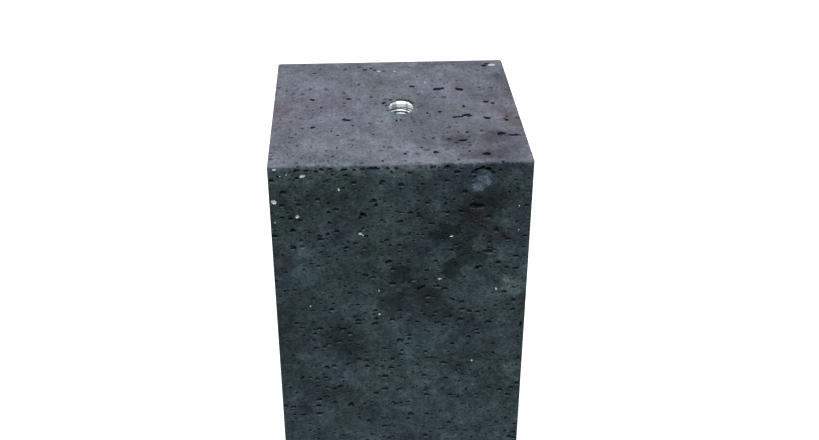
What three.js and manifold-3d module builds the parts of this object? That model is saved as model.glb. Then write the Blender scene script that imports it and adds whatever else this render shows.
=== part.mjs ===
import * as THREE from "three";
import { RoundedBoxGeometry } from "three/addons/geometries/RoundedBoxGeometry.js";
import { mergeVertices } from "three/addons/utils/BufferGeometryUtils.js";
import Module from "manifold-3d";

// A cast concrete column base block with a threaded steel socket in its top, for the stud of a post base.
// Millimetres, +Z up. The origin is the centre of the underside, and the front faces -Y.

// Block
const blockWidth = 150;
const blockDepth = 150;
const blockHeight = 500;
const arrisRadius = 1.5;
const arrisSteps = 2;

// Socket, a closed steel sleeve cast into the block with its foot down
const socketX = 3.5; // cast a little right of the block's middle
const socketY = 1;
const threadDiameter = 16;
const threadPitch = 2;
const threadLength = 24;
const leadInDepth = 3.5; // plain wall between the rim and the first turn
const leadInClearance = 0.6; // how much wider than the thread the plain wall is
const countersink = 1; // 45 degree bevel on the mouth
const sleeveWall = 3; // outside the thread's full diameter
const sleeveLength = 60;
const closedEnd = 4;
const footDiameter = 34;
const footThickness = 5;
const rimBevel = 0.4;
const socketSides = 26;

// How the sleeve sits in the concrete
const castGap = 0.3; // keeps the two solids from sharing faces
const rimDepth = 0.5; // of the sleeve's rim below the top of the block
const mouthBreak = 0.5; // crumbled edge of the concrete round the sleeve

// Voids and chips of the cast surface, in millimetres
const smallestVoid = 2.6;
const largestVoid = 5.2;
const voidsPerSide = 12;
const voidsOnTop = 6;
const fineVoid = 4; // a void narrower than this gets the simple lump
const chipsPerUprightArris = 5;
const chipsPerTopArris = 4;
const chipReach = 1.1; // how far a chip eats into each face
const voidMargin = 7; // keeps scattered voids off the arrises
const bareRing = 8; // keeps scattered voids off the concrete around the socket

const mergeTolerance = 0.004; // corners nearer than this to a straight edge are dropped

const concrete = new THREE.MeshStandardMaterial({ color: 0x5d6167, roughness: 0.92, metalness: 0 });
const zincPlate = new THREE.MeshStandardMaterial({ color: 0xc9ced1, roughness: 0.3, metalness: 1 });

const wasm = await Module();
wasm.setup();

// A closed three.js geometry as a solid that can be joined and cut.
function toSolid(geometry) {
  const bare = geometry.clone();
  bare.deleteAttribute("normal");
  bare.deleteAttribute("uv");
  const merged = mergeVertices(bare);
  return new wasm.Manifold(
    new wasm.Mesh({
      numProp: 3,
      vertProperties: new Float32Array(merged.attributes.position.array),
      triVerts: new Uint32Array(merged.index.array),
    }),
  );
}

// Crumbs that neighbouring cuts leave loose are dropped with the short edges.
function tidied(solid) {
  const bodies = solid.simplify(mergeTolerance).decompose();
  return bodies.reduce((largest, body) => (body.volume() > largest.volume() ? body : largest));
}

function toMesh(solid, name, material) {
  const { vertProperties, triVerts } = tidied(solid).getMesh();
  const geometry = new THREE.BufferGeometry();
  geometry.setAttribute("position", new THREE.BufferAttribute(vertProperties, 3));
  geometry.setIndex(new THREE.BufferAttribute(triVerts, 1));
  const flat = geometry.toNonIndexed();
  flat.computeVertexNormals();
  const mesh = new THREE.Mesh(flat, material);
  mesh.name = name;
  return mesh;
}

// The same run of even numbers between 0 and 1 each time.
function randomRun(seed) {
  const modulus = 2147483647;
  let state = seed;
  return (low = 0, high = 1) => {
    state = (state * 16807) % modulus;
    return low + ((high - low) * state) / modulus;
  };
}

// Faces of the block. "across" runs along right and "down" against up, each as a share of the face from its top left.
const x = new THREE.Vector3(1, 0, 0);
const y = new THREE.Vector3(0, 1, 0);
const z = new THREE.Vector3(0, 0, 1);
const middle = new THREE.Vector3(0, 0, blockHeight / 2);
const faces = {
  front: { right: x, up: z, out: y.clone().negate(), width: blockWidth, height: blockHeight, reach: blockDepth / 2 },
  right: { right: y, up: z, out: x, width: blockDepth, height: blockHeight, reach: blockWidth / 2 },
  back: { right: x.clone().negate(), up: z, out: y, width: blockWidth, height: blockHeight, reach: blockDepth / 2 },
  left: { right: y.clone().negate(), up: z, out: x.clone().negate(), width: blockDepth, height: blockHeight,
    reach: blockWidth / 2 },
  top: { right: x, up: y, out: z, width: blockWidth, height: blockDepth, reach: blockHeight / 2 },
};

function pointOn(face, across, down, lift = 0) {
  return middle
    .clone()
    .addScaledVector(face.right, (across - 0.5) * face.width)
    .addScaledVector(face.up, (0.5 - down) * face.height)
    .addScaledVector(face.out, face.reach + lift);
}

// A lumpy ball, stretched to its half sizes, that cuts one void out of a face.
function lump(half, detail, turn, face, centre, random) {
  const ball = mergeVertices(positionsOnly(new THREE.IcosahedronGeometry(1, detail)));
  const place = ball.attributes.position;
  const corner = new THREE.Vector3();
  for (let i = 0; i < place.count; i += 1) {
    corner.fromBufferAttribute(place, i).multiplyScalar(random(0.82, 1.16));
    place.setXYZ(i, corner.x * half.x, corner.y * half.y, corner.z * half.z);
  }
  const matrix = new THREE.Matrix4().makeBasis(face.right, face.up, face.out).setPosition(centre);
  ball.applyMatrix4(new THREE.Matrix4().makeRotationZ(THREE.MathUtils.degToRad(turn)));
  ball.applyMatrix4(matrix);
  return toSolid(ball);
}

function positionsOnly(geometry) {
  geometry.deleteAttribute("normal");
  geometry.deleteAttribute("uv");
  return geometry;
}

// A void is given by its mouth: across and down as shares of the face, then wide, tall, deep and turn.
function voidIn(face, [across, down, wide, tall, deep, turn], random) {
  const lift = deep * 0.25; // the ball's middle stands out of the face, so that the mouth's rim slopes
  const half = new THREE.Vector3(wide / 2, tall / 2, deep + lift);
  const detail = Math.max(wide, tall) < fineVoid ? 0 : 1;
  return lump(half, detail, turn, face, pointOn(face, across, down, lift), random);
}

// The voids that stand out on the front: across, down, wide, tall, deep, turn.
const frontVoids = [
  [0.807, 0.022, 13, 15, 1.6, 0], // the shell-shaped hollow near the top right corner
  [0.813, 0.0095, 12, 2.6, 3.2, -12], // the overhang along that hollow's upper edge
  [0.776, 0.02, 4.5, 1.8, 2, 28],
  [0.793, 0.058, 9.5, 3.8, 4.5, 6],
  [0.733, 0.0645, 3.6, 2.2, 2.4, 12],
  [0.353, 0.066, 3.8, 4.4, 3.4, 40],
  [0.187, 0.092, 2.8, 2.4, 2.2, 0],
  [0.44, 0.1, 2.9, 1.9, 1.8, 10],
  [0.613, 0.079, 4.4, 1.8, 1.8, 0],
  [0.833, 0.072, 4.4, 3, 1.6, 15],
  [0.866, 0.0905, 3.4, 4.2, 1.8, 50],
  [0.837, 0.119, 8.4, 2.4, 2.6, -8],
  [0.173, 0.133, 3, 2.6, 2.2, 0],
  [0.045, 0.166, 5.4, 2.4, 1.8, 4],
  [0.547, 0.156, 3.6, 2.4, 1.8, 20],
  [0.595, 0.156, 3.6, 2.4, 1.8, 20],
  [0.58, 0.167, 6.4, 2.2, 2, 52],
  [0.642, 0.166, 4.4, 2.2, 2, 16],
  [0.395, 0.217, 4, 3.2, 3, 0],
  [0.735, 0.215, 5.6, 3, 3.2, 24],
  [0.648, 0.2185, 4.6, 2.4, 2.4, 18],
  [0.853, 0.22, 3.6, 3, 2.6, 10],
  [0.49, 0.243, 4, 3.4, 3, 30],
  [0.617, 0.271, 5, 2.6, 2.6, 0],
  [0.09, 0.22, 4.6, 2, 2, 0],
  [0.205, 0.24, 4, 4, 2.6, 0],
  [0.255, 0.242, 4.4, 2.2, 2.2, 14],
  [0.24, 0.312, 3, 3, 2.6, 0],
  [0.285, 0.341, 3.4, 4.6, 2.8, -30],
  [0.475, 0.342, 3, 3.4, 2.4, 30],
  [0.96, 0.322, 3.4, 2.8, 2.6, 0],
];

// The same for the top, where down runs from the back edge to the front edge.
const topVoids = [
  [0.92, 0.062, 9, 8, 1.8, 0], // the broken patch at the back right corner
  [0.42, 0.087, 9, 9, 1.2, 0],
  [0.687, 0.32, 7.4, 4.6, 2.6, 18],
  [0.78, 0.327, 5.4, 5, 2.6, 0],
  [0.58, 0.287, 4.4, 3.4, 1.4, 0],
  [0.765, 0.593, 13.5, 4.2, 3, 22],
  [0.3, 0.61, 4.6, 3.6, 2.2, -20],
  [0.165, 0.672, 3.6, 2.8, 1.8, 0],
  [0.16, 0.407, 3, 4, 1.8, 20],
  [0.31, 0.405, 3.4, 2.8, 2, 0],
  [0.9, 0.765, 5.4, 4.2, 2.4, 40],
  [0.945, 0.78, 7.6, 2.4, 2.4, -6],
  [0.745, 0.815, 5.6, 4.4, 2.4, 0],
  [0.827, 0.935, 4.4, 5.2, 2.8, 10],
  [0.635, 0.915, 3.6, 3.6, 2, 0],
  [0.867, 0.62, 4.4, 3.6, 2, 0],
  [0.875, 0.46, 3.6, 3.6, 2, 0],
  [0.68, 0.553, 3, 4.4, 2, 10],
];

// Air caught against the sleeve: the angle round the socket, the void's middle out from the sleeve, wide, tall, deep.
const sleeveVoids = [
  [130, 1.7, 5, 3, 3.5],
  [158, 1.3, 5.4, 2.8, 3.5],
];

function sleeveVoid([angle, out, wide, tall, deep], random) {
  const distance = sleeveDiameter / 2 + out;
  const turn = THREE.MathUtils.degToRad(angle);
  const across = 0.5 + (socketX + distance * Math.cos(turn)) / blockWidth;
  const down = 0.5 - (socketY + distance * Math.sin(turn)) / blockDepth;
  return voidIn(faces.top, [across, down, wide, tall, deep, angle - 90], random);
}

// Scattered voids on the sides that the listed ones don't cover, and small ones between those that they do.
function scatteredVoids() {
  const random = randomRun(4127);
  const cuts = [];
  const scatter = (face, count, fromShare, keepOut) => {
    for (let i = 0; i < count; i += 1) {
      const size = random(smallestVoid, largestVoid);
      const marginAcross = voidMargin / face.width;
      const marginDown = voidMargin / face.height;
      const row = [
        random(marginAcross, 1 - marginAcross),
        random(Math.max(fromShare, marginDown), 1 - marginDown),
        size,
        size * random(0.45, 0.85),
        size * random(0.4, 0.7),
        random(-35, 35),
      ];
      if (!keepOut(pointOn(face, row[0], row[1]), size)) cuts.push(voidIn(face, row, random));
    }
  };
  const nowhere = () => false;
  const besideSocket = (point, size) =>
    Math.hypot(point.x - socketX, point.y - socketY) < sleeveDiameter / 2 + bareRing + size;
  scatter(faces.right, voidsPerSide, 0, nowhere);
  scatter(faces.back, voidsPerSide, 0, nowhere);
  scatter(faces.left, voidsPerSide, 0, nowhere);
  scatter(faces.front, Math.round(voidsPerSide * 0.6), 0.42, nowhere);
  scatter(faces.top, voidsOnTop, 0, besideSocket);
  return cuts;
}

// Chips along an arris, between two corners of the block, where the two faces' outward directions meet.
function chipsAlong(start, end, outA, outB, count, random) {
  const diagonal = outA.clone().add(outB).normalize();
  const along = end.clone().sub(start).normalize();
  const side = new THREE.Vector3().crossVectors(diagonal, along).normalize();
  const frame = { right: along, up: side, out: diagonal };
  const chips = [];
  for (let i = 0; i < count; i += 1) {
    const centre = start.clone().lerp(end, (i + random(0.15, 0.85)) / count);
    const reach = chipReach * random(0.6, 1.4);
    const bite = reach / Math.SQRT2; // depth below the sharp corner, across the diagonal
    const stretch = random(1.6, 3);
    const half = new THREE.Vector3(reach * stretch, reach * 1.5, bite + reach);
    centre.addScaledVector(diagonal, reach);
    chips.push(lump(half, 0, 0, frame, centre, random));
  }
  return chips;
}

function arrisChips() {
  const random = randomRun(929);
  const halfX = blockWidth / 2;
  const halfY = blockDepth / 2;
  const corners = [
    [-halfX, -halfY],
    [halfX, -halfY],
    [halfX, halfY],
    [-halfX, halfY],
  ];
  const outs = [faces.front.out, faces.right.out, faces.back.out, faces.left.out];
  const chips = [];
  corners.forEach(([cornerX, cornerY], i) => {
    const before = outs[(i + 3) % 4];
    const foot = new THREE.Vector3(cornerX, cornerY, voidMargin);
    const head = new THREE.Vector3(cornerX, cornerY, blockHeight - voidMargin);
    chips.push(...chipsAlong(foot, head, before, outs[i], chipsPerUprightArris, random));
    const [nextX, nextY] = corners[(i + 1) % 4];
    const from = new THREE.Vector3(cornerX, cornerY, blockHeight);
    const to = new THREE.Vector3(nextX, nextY, blockHeight);
    chips.push(...chipsAlong(from, to, outs[i], faces.top.out, chipsPerTopArris, random));
  });
  return chips;
}

// Sizes that follow from the ones above
const threadHeight = (threadPitch * Math.sqrt(3)) / 2; // of the sharp 60 degree triangle
const boreDiameter = threadDiameter - 1.25 * threadHeight;
const drillDiameter = boreDiameter - 0.2; // below the thread
const leadInDiameter = threadDiameter + leadInClearance;
const mouthDiameter = leadInDiameter + 2 * countersink;
const sleeveDiameter = threadDiameter + 2 * sleeveWall;
const rimZ = blockHeight - rimDepth;
const footZ = rimZ - sleeveLength;

// A solid of revolution about +Z from radius and height pairs that start and end on the axis.
function turned(profile) {
  const points = profile.map(([radius, height]) => new THREE.Vector2(radius, height));
  const geometry = new THREE.LatheGeometry(points, socketSides);
  geometry.rotateX(Math.PI / 2);
  return toSolid(geometry);
}

// The room that a tap leaves: a helix of 60 degree teeth on a core, longer than the thread at both ends.
function threadCutter(lowZ, turns) {
  const core = boreDiameter / 2;
  const crest = threadDiameter / 2;
  const flank = (crest - core) * Math.tan(Math.PI / 6);
  const flat = threadPitch / 8;
  const valley = threadPitch - flat - 2 * flank;
  const rows = [
    [core, 0],
    [crest, flank],
    [crest, flank + flat],
    [core, 2 * flank + flat],
  ];
  if (valley <= 0) throw new Error("the thread's teeth run into each other");
  const rowCount = rows.length * turns + 1;
  const corners = [];
  const triangles = [];
  const at = (side, row) => (side % socketSides) * rowCount + row + (side === socketSides ? rows.length : 0);
  for (let side = 0; side < socketSides; side += 1) {
    const share = side / socketSides;
    const angle = share * 2 * Math.PI;
    for (let row = 0; row < rowCount; row += 1) {
      const [radius, rise] = rows[row % rows.length];
      const height = lowZ + threadPitch * (Math.floor(row / rows.length) + share) + rise;
      corners.push(radius * Math.cos(angle), radius * Math.sin(angle), height);
    }
  }
  const lowPole = corners.length / 3;
  corners.push(0, 0, lowZ - threadPitch);
  const highPole = lowPole + 1;
  corners.push(0, 0, lowZ + threadPitch * (turns + 2));
  for (let side = 0; side < socketSides; side += 1) {
    const last = side === socketSides - 1 ? rowCount - rows.length : rowCount;
    for (let row = 0; row < last - 1; row += 1) {
      triangles.push(at(side, row), at(side + 1, row), at(side + 1, row + 1));
      triangles.push(at(side, row), at(side + 1, row + 1), at(side, row + 1));
    }
    triangles.push(lowPole, at(side + 1, 0), at(side, 0));
    if (side < socketSides - 1) triangles.push(highPole, at(side, rowCount - 1), at(side + 1, rowCount - 1));
  }
  // The steps that the helix leaves at both ends close to the poles as well.
  const lastTurn = rowCount - 1 - rows.length;
  for (let row = 0; row < rows.length; row += 1) {
    triangles.push(lowPole, at(0, row), at(0, row + 1));
    triangles.push(highPole, at(socketSides - 1, lastTurn + row + 1), at(socketSides - 1, lastTurn + row));
  }
  triangles.push(highPole, at(socketSides - 1, lastTurn), at(0, rowCount - 1));
  const geometry = new THREE.BufferGeometry();
  geometry.setAttribute("position", new THREE.Float32BufferAttribute(corners, 3));
  geometry.setIndex(triangles);
  return toSolid(geometry);
}

function socketSolid() {
  const sleeve = turned([
    [0, footZ],
    [footDiameter / 2, footZ],
    [footDiameter / 2, footZ + footThickness],
    [sleeveDiameter / 2, footZ + footThickness],
    [sleeveDiameter / 2, rimZ - rimBevel],
    [sleeveDiameter / 2 - rimBevel, rimZ],
    [0, rimZ],
  ]);
  const firstTurn = rimZ - leadInDepth;
  const lastTurn = firstTurn - threadLength;
  const leadIn = turned([
    [0, firstTurn - leadInClearance],
    [boreDiameter / 2, firstTurn - leadInClearance],
    [leadInDiameter / 2, firstTurn],
    [leadInDiameter / 2, rimZ - countersink],
    [mouthDiameter / 2 + 1, rimZ + 1],
    [0, rimZ + 1],
  ]);
  const drillHole = turned([
    [0, footZ + closedEnd],
    [drillDiameter / 2, footZ + closedEnd],
    [drillDiameter / 2, firstTurn],
    [0, firstTurn],
  ]);
  const stretch = turned([
    [0, lastTurn],
    [sleeveDiameter / 2, lastTurn],
    [sleeveDiameter / 2, firstTurn],
    [0, firstTurn],
  ]);
  const tap = threadCutter(lastTurn - threadPitch, Math.ceil(threadLength / threadPitch) + 2);
  return sleeve
    .subtract(drillHole.add(leadIn).add(tap.intersect(stretch)))
    .translate([socketX, socketY, 0]);
}

// The room that the sleeve takes up in the concrete.
function socketCavity() {
  return turned([
    [0, footZ - castGap],
    [footDiameter / 2 + castGap, footZ - castGap],
    [footDiameter / 2 + castGap, footZ + footThickness + castGap],
    [sleeveDiameter / 2 + castGap, footZ + footThickness + castGap],
    [sleeveDiameter / 2 + castGap, blockHeight - mouthBreak],
    [sleeveDiameter / 2 + castGap + 2 * mouthBreak, blockHeight + mouthBreak],
    [0, blockHeight + mouthBreak],
  ]).translate([socketX, socketY, 0]);
}

function blockSolid() {
  const box = new RoundedBoxGeometry(blockWidth, blockDepth, blockHeight, arrisSteps, arrisRadius);
  box.translate(0, 0, blockHeight / 2);
  const random = randomRun(97);
  const cuts = [
    socketCavity(),
    ...frontVoids.map((row) => voidIn(faces.front, row, random)),
    ...topVoids.map((row) => voidIn(faces.top, row, random)),
    ...sleeveVoids.map((row) => sleeveVoid(row, random)),
    ...scatteredVoids(),
    ...arrisChips(),
  ];
  return cuts.reduce((solid, cut) => solid.subtract(cut), toSolid(box));
}

const columnBase = new THREE.Group();
columnBase.name = "column_base_block";
columnBase.add(toMesh(blockSolid(), "concrete_block", concrete));
columnBase.add(toMesh(socketSolid(), "threaded_socket", zincPlate));

export default columnBase;
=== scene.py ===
import math

import bpy
from mathutils import Matrix, Vector


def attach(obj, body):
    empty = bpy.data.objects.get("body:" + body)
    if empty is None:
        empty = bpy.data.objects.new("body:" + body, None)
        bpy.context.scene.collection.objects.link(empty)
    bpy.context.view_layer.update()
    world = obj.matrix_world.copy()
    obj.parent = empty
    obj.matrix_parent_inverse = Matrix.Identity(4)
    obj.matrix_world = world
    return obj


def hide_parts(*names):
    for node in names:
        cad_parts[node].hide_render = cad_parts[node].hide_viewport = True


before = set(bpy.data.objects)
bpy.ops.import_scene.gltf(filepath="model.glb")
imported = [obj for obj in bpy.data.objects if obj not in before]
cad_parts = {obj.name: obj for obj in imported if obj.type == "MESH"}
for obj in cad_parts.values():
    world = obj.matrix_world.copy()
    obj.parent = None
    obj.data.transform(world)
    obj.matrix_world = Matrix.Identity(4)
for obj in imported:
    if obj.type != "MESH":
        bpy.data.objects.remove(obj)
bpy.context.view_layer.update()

bpy.ops.object.select_all(action="DESELECT")

mm = 0.001


# Small helpers

def randomRun(seed):
    # the same run of numbers each time, between low and high
    factor, modulus = 16807, 2147483647
    state = [seed]

    def nextNumber(low=0.0, high=1.0):
        state[0] = state[0] * factor % modulus
        return low + (high - low) * state[0] / modulus

    return nextNumber


def activate(piece):
    bpy.ops.object.select_all(action="DESELECT")
    piece.select_set(True)
    bpy.context.view_layer.objects.active = piece


def applyModifier(piece, kind, **settings):
    activate(piece)
    modifier = piece.modifiers.new(kind.title(), kind)
    for name, value in settings.items():
        setattr(modifier, name, value)
    bpy.ops.object.modifier_apply(modifier=modifier.name)


def joined(objects):
    bpy.ops.object.select_all(action="DESELECT")
    for one in objects:
        one.select_set(True)
    bpy.context.view_layer.objects.active = objects[0]
    bpy.ops.object.join()
    return bpy.context.object


def cutOut(piece, cutter):
    applyModifier(piece, "BOOLEAN", operation="DIFFERENCE", solver="MANIFOLD", object=cutter)
    bpy.data.objects.remove(cutter)


def turned(name, profile, sides, place):
    # a closed round shape, extruded ring by ring from (radius, height) pairs in millimetres
    radius, height = profile[0]
    bpy.ops.mesh.primitive_circle_add(vertices=sides, radius=radius * mm, fill_type="NGON",
                                      location=(place[0] * mm, place[1] * mm, height * mm))
    piece = bpy.context.object
    piece.name = name
    bpy.ops.object.transform_apply(location=True)
    bpy.ops.object.mode_set(mode="EDIT")
    for nextRadius, nextHeight in profile[1:]:
        bpy.ops.mesh.extrude_region_move(
            TRANSFORM_OT_translate={"value": (0, 0, (nextHeight - height) * mm)})
        share = nextRadius / radius
        bpy.ops.transform.resize(value=(share, share, 1),
                                 center_override=(place[0] * mm, place[1] * mm, nextHeight * mm))
        radius, height = nextRadius, nextHeight
    bpy.ops.mesh.select_all(action="SELECT")
    bpy.ops.mesh.normals_make_consistent(inside=False)
    bpy.ops.object.mode_set(mode="OBJECT")
    return piece


def linear(hexColour):
    # sRGB hex to the linear values that the shaders want
    channels = [int(hexColour[i:i + 2], 16) / 255 for i in (1, 3, 5)]
    return [c / 12.92 if c <= 0.04045 else ((c + 0.055) / 1.055) ** 2.4 for c in channels] + [1.0]


def newMaterial(name):
    material = bpy.data.materials.new(name)
    material.use_nodes = True
    material.node_tree.nodes.clear()
    return material


def addNode(tree, kind, inputs=None, **settings):
    # inputs go by name or number, and a value that is a socket is linked
    node = tree.nodes.new(kind)
    for name, value in settings.items():
        setattr(node, name, value)
    for name, value in (inputs or {}).items():
        if isinstance(value, bpy.types.NodeSocket):
            tree.links.new(value, node.inputs[name])
        else:
            node.inputs[name].default_value = value
    return node


# The faces of the block. Places on them go across and down from their top left corner, in millimetres.

block = {
    "width": 150,
    "depth": 150,
    "height": 500,
    "arrisRadius": 1.3,
    "arrisSegments": 3,
    "gridCuts": 14,  # keeps the triangles round the pits short
    "pitsPerSide": 800,
    "pitsOnTop": 430,
    "topPitShare": 0.52,  # as wide as those on the sides
    "smallestPit": 1.1,
    "largestPit": 3.8,
    "pitMargin": 2.5,
    "clusteredShare": 0.45,
    "seenDepth": 200,  # how far down the front the photograph reaches
    "largeVoidShare": 0.09,
    "grainsPerSide": 34,
    "grainDepth": 0.25,
    "chipSpacing": 3.2,
    "chipReach": 0.9,
}

socket = {
    "place": (3.5, 1),
    "thread": 16,
    "pitch": 2,
    "threadLength": 24,
    "leadInDepth": 3.5,
    "leadInDiameter": 16.6,
    "countersink": 1,
    "wallDiameter": 22,
    "length": 60,
    "closedEnd": 4,
    "footDiameter": 34,
    "footThickness": 5,
    "rimDepth": 0.5,
    "rimBevel": 0.4,
    "castGap": 0.3,
    "filmDepth": 0.4,  # cement that crept over the rim while the block was cast
    "filmRadius": 8.75,
    "filmOval": 1.15,  # wider from front to back than from side to side
    "sides": 64,
}

right, back, up = Vector((1, 0, 0)), Vector((0, 1, 0)), Vector((0, 0, 1))
faces = {
    "front": {"across": right, "upward": up, "out": -back, "size": (150, 500), "reach": 75},
    "right": {"across": back, "upward": up, "out": right, "size": (150, 500), "reach": 75},
    "back": {"across": -right, "upward": up, "out": back, "size": (150, 500), "reach": 75},
    "left": {"across": -back, "upward": up, "out": -right, "size": (150, 500), "reach": 75},
    "top": {"across": right, "upward": back, "out": up, "size": (150, 150), "reach": 250},
}
blockMiddle = Vector((0, 0, block["height"] / 2))
socketMiddle = Vector((*socket["place"], block["height"]))


def pointOn(face, across, down, lift=0.0):
    width, height = face["size"]
    return (blockMiddle + face["across"] * (across - width / 2) + face["upward"] * (height / 2 - down)
            + face["out"] * (face["reach"] + lift))


# Materials

concreteTones = {
    "sideGreen": "#2f3b3a",
    "sideBlue": "#323d44",
    "topGrey": "#565960",
    "topViolet": "#5a5c67",
    "stain": "#101815",
    "brownStain": "#1f1d20",
    "sideTeal": "#334447",
    "sideLight": "#404e55",
    "paleTeal": "#4f5d5f",
    "coldDust": "#394252",
    "topDark": "#3a3d45",
    "topBrown": "#453f42",
    "topRed": "#5a545c",
    "topTeal": "#5a666d",
    "topPale": "#626770",
    "ledgeDustAndLight": "#68747c",
    "sandGrain": "#848b8e",
    "dustySand": "#8b9096",
    "holeShadow": "#050707",
}

# Clouds in the cement: width in millimetres, fineness, and how much they darken and lighten.
concreteClouds = [
    (75, 1, 0.84, 1.16),
    (26, 2, 0.76, 1.26),
    (8, 2, 0.78, 1.24),
    (2.6, 2, 0.86, 1.16),
    (1.3, 2, 0.78, 1.24),  # sand under the skin, drawn about twice as coarse as it is so that it shows
]

# Stains and dust on the cast faces: face, across, down, half width, half height, turn, tone, strength.
concretePatches = [
    ("front", 75, 205, 130, 80, 0, "sideLight", 0.5),
    ("front", 40, 3, 60, 9, 0, "sideLight", 0.4),
    ("front", 105, 70, 8, 10, 0, "stain", 0.75),
    ("front", 114, 64, 12, 9, 0, "stain", 0.6),
    ("front", 101, 46, 14, 8, -40, "stain", 0.75),
    ("front", 112, 53, 9, 9, 0, "stain", 0.6),
    ("front", 119, 35, 13, 15, 0, "brownStain", 0.75),
    ("front", 130, 48, 10, 9, 0, "brownStain", 0.5),
    ("front", 129, 23, 13, 9, 0, "brownStain", 0.5),
    ("front", 73, 76, 9, 12, 0, "stain", 0.5),
    ("front", 72, 94, 14, 13, 0, "stain", 0.5),
    ("front", 89, 88, 10, 10, 0, "brownStain", 0.6),
    ("front", 38, 118, 17, 13, 0, "stain", 0.5),
    ("front", 43, 130, 12, 10, 0, "stain", 0.45),
    ("front", 35, 21, 18, 9, 0, "brownStain", 0.4),
    ("front", 42, 44, 8, 9, 0, "brownStain", 0.45),
    ("front", 7, 64, 11, 15, 0, "brownStain", 0.5),
    ("front", 87, 35, 8, 6, 0, "brownStain", 0.4),
    ("front", 30, 163, 20, 15, 0, "stain", 0.3),
    ("front", 12, 174, 8, 8, 0, "stain", 0.4),
    ("front", 142, 83, 8, 9, 0, "paleTeal", 0.75),
    ("front", 121, 13, 9, 9, 0, "coldDust", 0.8),
    ("front", 46, 2, 5, 6, 0, "paleTeal", 0.6),
    ("front", 76, 5, 22, 6, 0, "paleTeal", 0.3),
    ("front", 18, 74, 13, 11, 0, "sideTeal", 0.8),
    ("front", 92, 61, 11, 14, 0, "sideTeal", 0.6),
    ("front", 48, 80, 9, 10, 0, "sideTeal", 0.7),
    ("front", 84, 125, 13, 20, 0, "sideTeal", 0.6),
    ("front", 116, 162, 22, 22, 0, "sideLight", 0.4),
    ("front", 146, 158, 9, 22, 0, "paleTeal", 0.35),
    ("top", 147, 97, 11, 12, 0, "topBrown", 0.75),
    ("top", 145, 84, 10, 11, 0, "topBrown", 0.45),
    ("top", 1, 82, 14, 30, 0, "topRed", 0.6),
    ("top", 4, 76, 7, 14, 0, "topBrown", 0.3),
    ("top", 23, 77, 8, 9, 0, "topRed", 0.4),
    ("top", 148, 38, 8, 28, 0, "topDark", 0.5),
    ("top", 108, 123, 13, 10, 0, "topDark", 0.7),
    ("top", 131, 119, 12, 12, 0, "topDark", 0.6),
    ("top", 122, 141, 18, 9, 0, "topDark", 0.6),
    ("top", 140, 135, 13, 16, 0, "topDark", 0.4),
    ("top", 62, 13, 9, 3, 0, "topDark", 0.5),
    ("top", 75, 150, 90, 4, 0, "topPale", 0.6),
    ("top", 46, 149, 7, 6, 0, "topTeal", 0.7),
    ("top", 66, 20, 22, 13, 0, "topPale", 0.6),
    ("top", 121, 18, 22, 13, 0, "topPale", 0.6),
    ("top", 78, 110, 15, 32, 0, "topPale", 0.6),
    ("top", 20, 128, 14, 12, 0, "topPale", 0.4),
    ("top", 76, 88, 9, 6, 0, "topTeal", 0.55),
]

# Torn air holes all over: cell width, flatness, reach in the cell, share of cells, how dark the painted
# shadow inside them is, how pale the painted light on their lower ledge is, and depth.
concretePocks = [
    (5.2, 1.3, 0.36, 0.7, 0.95, 0.5, 1.2),
    (2.4, 1.2, 0.36, 0.55, 0.9, 0.4, 0.7),
]

# Sand rubbed bare in the skin. Its grains are drawn about 1 mm wide, twice as coarse as they are, so that
# they show.
bareSand = {"cell": 2.4, "reach": 0.7, "share": 0.6, "strength": 0.62}


castSkin = {
    "driftWidth": 34,  # of the drift between the two tones of the sides, and of the top
    "creepWidth": 3,
    "creepDepth": 2.5,  # how far the top's paler skin, partly painted light, hangs over the arris
    "topHeights": (498.6, 499.9),  # between these the sides' tones turn into the top's
    "swayWidth": 8,
    "sway": 17,  # how far the patches' outlines waver
    "frayWidth": 5,
    "fray": 1.1,
    "patchRim": 1.28,
    "stainEdge": 0.17,  # water stains end sharply
    "dustEdge": 0.32,  # dust fades out
    "sideContrast": 1.35,  # the sides are more mottled than the top
    "topContrast": 0.8,
    "waveWidth": 15,
    "waveDepth": 0.9,
    "sandDepth": 0.4,
    "ledgeShare": 0.22,
    "specular": 0.1,
}


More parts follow.
